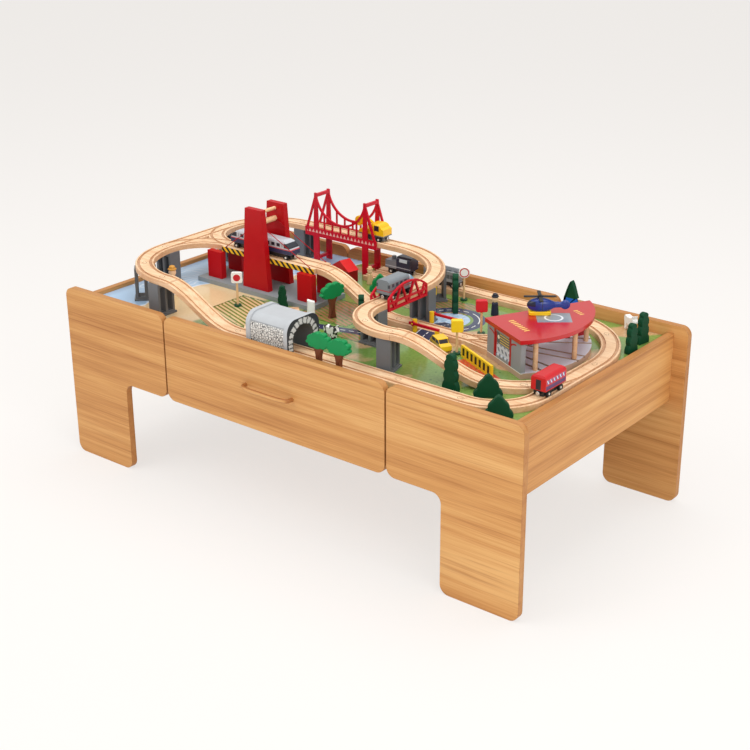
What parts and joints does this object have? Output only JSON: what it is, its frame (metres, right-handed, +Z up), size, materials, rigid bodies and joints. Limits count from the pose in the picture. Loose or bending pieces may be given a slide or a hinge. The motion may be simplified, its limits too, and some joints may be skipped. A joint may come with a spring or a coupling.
{
  "type": "train table",
  "caption": "Wooden train table with a rimmed play board, sliding drawers and a grooved wooden railway with raised track, ramps, bridges, tunnel, roundhouse and rolling vehicles.",
  "frame": {"origin": "centre of the table on the floor", "axes": "+X along the front, +Y to the rear, +Z up"},
  "size_m": [1.2, 0.66, 0.56],
  "materials": {
    "oak": "oak laminate, satin",
    "drawer_wood": "plain softwood",
    "board": "printed board",
    "beech": "plain beech",
    "red": "moulded",
    "grey": "moulded",
    "yellow": "painted",
    "green": "painted",
    "white": "painted",
    "cord": "twisted",
    "silver": "painted",
    "blue": "painted",
    "black": "moulded",
    "dark": "painted"
  },
  "bodies": {
    "table": {"leg_front_left": "oak", "leg_front_right": "oak", "leg_rear_left": "oak", "leg_rear_right": "oak", "end_boards": "oak", "play_board": "board", "cross_bearers": "oak", "support_rails": "oak", "ground_track": "beech", "raised_track": "beech", "ramps": "beech", "track_piers": "grey", "cable_bridge_base": "grey", "cable_bridge_pillars": "red", "cable_bridge_towers": "red", "cable_bridge_deck": "beech", "bridge_cords": "cord", "suspension_bridge": "red", "girder_bridge": "red", "tunnel": "grey", "roundhouse_floor": "grey", "roundhouse_walls": "grey", "roundhouse_columns": "beech", "roundhouse_roof": "red", "barn": "red", "crossing_base": "yellow", "helicopter_body": "blue", "trees": "green", "signs": "white", "figures": "white", "toy_car": "yellow"},
    "front_drawer": {"front_drawer_face": "oak", "front_drawer_box": "drawer_wood", "front_drawer_handle": "oak"},
    "rear_drawer": {"rear_drawer_face": "oak", "rear_drawer_box": "drawer_wood", "rear_drawer_handle": "oak"},
    "front_barrier": {"barrier_front": "red"},
    "rear_barrier": {"barrier_rear": "red"},
    "rotor": {"helicopter_rotor": "black"},
    "express": {"express_body": "silver"},
    "express_axle_a": {"express_wheels_a": "black"},
    "express_axle_b": {"express_wheels_b": "black"},
    "express_axle_c": {"express_wheels_c": "black"},
    "express_axle_d": {"express_wheels_d": "black"},
    "coach": {"coach_body": "red"},
    "coach_axle_a": {"coach_wheels_a": "black"},
    "coach_axle_b": {"coach_wheels_b": "black"},
    "hopper": {"hopper_body": "grey"},
    "hopper_axle_a": {"hopper_wheels_a": "black"},
    "hopper_axle_b": {"hopper_wheels_b": "black"},
    "shunter": {"shunter_body": "dark"},
    "shunter_axle_a": {"shunter_wheels_a": "black"},
    "shunter_axle_b": {"shunter_wheels_b": "black"},
    "streamliner": {"streamliner_body": "grey"},
    "streamliner_axle_a": {"streamliner_wheels_a": "black"},
    "streamliner_axle_b": {"streamliner_wheels_b": "black"},
    "crane": {"crane_body": "yellow"},
    "crane_axle_a": {"crane_wheels_a": "black"},
    "crane_axle_b": {"crane_wheels_b": "black"}
  },
  "joints": [
    {"name": "front_drawer_slide", "type": "slide", "parent": "table", "child": "front_drawer", "axis": [0, -1, 0], "range_m": [0, 0.2]},
    {"name": "rear_drawer_slide", "type": "slide", "parent": "table", "child": "rear_drawer", "axis": [0, 1, 0], "range_m": [0, 0.2]},
    {"name": "front_barrier_hinge", "type": "hinge", "parent": "table", "child": "front_barrier", "pos_m": [0.14193, -0.0243, 0.3942], "axis": [0, -1, 0], "range_deg": [0, 75]},
    {"name": "rear_barrier_hinge", "type": "hinge", "parent": "table", "child": "rear_barrier", "pos_m": [0.14193, 0.0483, 0.3942], "axis": [0, -1, 0], "range_deg": [0, 75]},
    {"name": "rotor_spin", "type": "hinge", "parent": "table", "child": "rotor", "pos_m": [0.39283, 0.05704, 0.4825], "axis": [0, 0, 1], "continuous": true},
    {"name": "express_slide", "type": "slide", "parent": "table", "child": "express", "axis": [1, 0, 0], "range_m": [-0.03, 0.03]},
    {"name": "express_axle_a_roll", "type": "hinge", "parent": "express", "child": "express_axle_a", "pos_m": [-0.37097, 0.012, 0.4563], "axis": [0, 1, 0], "continuous": true},
    {"name": "express_axle_b_roll", "type": "hinge", "parent": "express", "child": "express_axle_b", "pos_m": [-0.31497, 0.012, 0.4563], "axis": [0, 1, 0], "continuous": true},
    {"name": "express_axle_c_roll", "type": "hinge", "parent": "express", "child": "express_axle_c", "pos_m": [-0.27897, 0.012, 0.4563], "axis": [0, 1, 0], "continuous": true},
    {"name": "express_axle_d_roll", "type": "hinge", "parent": "express", "child": "express_axle_d", "pos_m": [-0.22297, 0.012, 0.4563], "axis": [0, 1, 0], "continuous": true},
    {"name": "coach_slide", "type": "slide", "parent": "table", "child": "coach", "axis": [0, 1, 0], "range_m": [0, 0.14]},
    {"name": "coach_axle_a_roll", "type": "hinge", "parent": "coach", "child": "coach_axle_a", "pos_m": [0.5295, -0.14197, 0.3843], "axis": [-1, 0, 0], "continuous": true},
    {"name": "coach_axle_b_roll", "type": "hinge", "parent": "coach", "child": "coach_axle_b", "pos_m": [0.5295, -0.10197, 0.3843], "axis": [-1, 0, 0], "continuous": true},
    {"name": "hopper_slide", "type": "slide", "parent": "table", "child": "hopper", "axis": [1, 0, 0], "range_m": [-0.02, 0.15]},
    {"name": "hopper_axle_a_roll", "type": "hinge", "parent": "hopper", "child": "hopper_axle_a", "pos_m": [0.01315, 0.2525, 0.3843], "axis": [0, 1, 0], "continuous": true},
    {"name": "hopper_axle_b_roll", "type": "hinge", "parent": "hopper", "child": "hopper_axle_b", "pos_m": [0.05315, 0.2525, 0.3843], "axis": [0, 1, 0], "continuous": true},
    {"name": "shunter_slide", "type": "slide", "parent": "table", "child": "shunter", "axis": [1, 0, 0], "range_m": [-0.02, 0.02]},
    {"name": "shunter_axle_a_roll", "type": "hinge", "parent": "shunter", "child": "shunter_axle_a", "pos_m": [-0.08, 0.2525, 0.3843], "axis": [0, 1, 0], "continuous": true},
    {"name": "shunter_axle_b_roll", "type": "hinge", "parent": "shunter", "child": "shunter_axle_b", "pos_m": [-0.12, 0.2525, 0.3843], "axis": [0, 1, 0], "continuous": true},
    {"name": "streamliner_slide", "type": "slide", "parent": "table", "child": "streamliner", "axis": [0, 1, 0], "range_m": [-0.04, 0.04]},
    {"name": "streamliner_axle_a_roll", "type": "hinge", "parent": "streamliner", "child": "streamliner_axle_a", "pos_m": [0.10608, -0.06193, 0.4563], "axis": [-1, 0, 0], "continuous": true},
    {"name": "streamliner_axle_b_roll", "type": "hinge", "parent": "streamliner", "child": "streamliner_axle_b", "pos_m": [0.10608, -0.00593, 0.4563], "axis": [-1, 0, 0], "continuous": true},
    {"name": "crane_slide", "type": "slide", "parent": "table", "child": "crane", "axis": [1, 0, 0], "range_m": [-0.12, 0.02]},
    {"name": "crane_axle_a_roll", "type": "hinge", "parent": "crane", "child": "crane_axle_a", "pos_m": [-0.14498, 0.238, 0.4563], "axis": [0, 1, 0], "continuous": true},
    {"name": "crane_axle_b_roll", "type": "hinge", "parent": "crane", "child": "crane_axle_b", "pos_m": [-0.18498, 0.238, 0.4563], "axis": [0, 1, 0], "continuous": true}
  ],
  "couplings": [
    {"joint": "express_axle_a_roll", "follows": "express_slide", "rad_per_m": 142.86},
    {"joint": "express_axle_b_roll", "follows": "express_slide", "rad_per_m": 142.86},
    {"joint": "express_axle_c_roll", "follows": "express_slide", "rad_per_m": 142.86},
    {"joint": "express_axle_d_roll", "follows": "express_slide", "rad_per_m": 142.86},
    {"joint": "coach_axle_a_roll", "follows": "coach_slide", "rad_per_m": 142.86},
    {"joint": "coach_axle_b_roll", "follows": "coach_slide", "rad_per_m": 142.86},
    {"joint": "hopper_axle_a_roll", "follows": "hopper_slide", "rad_per_m": 142.86},
    {"joint": "hopper_axle_b_roll", "follows": "hopper_slide", "rad_per_m": 142.86},
    {"joint": "shunter_axle_a_roll", "follows": "shunter_slide", "rad_per_m": 142.86},
    {"joint": "shunter_axle_b_roll", "follows": "shunter_slide", "rad_per_m": 142.86},
    {"joint": "streamliner_axle_a_roll", "follows": "streamliner_slide", "rad_per_m": 142.86},
    {"joint": "streamliner_axle_b_roll", "follows": "streamliner_slide", "rad_per_m": 142.86},
    {"joint": "crane_axle_a_roll", "follows": "crane_slide", "rad_per_m": 142.86},
    {"joint": "crane_axle_b_roll", "follows": "crane_slide", "rad_per_m": 142.86}
  ]
}
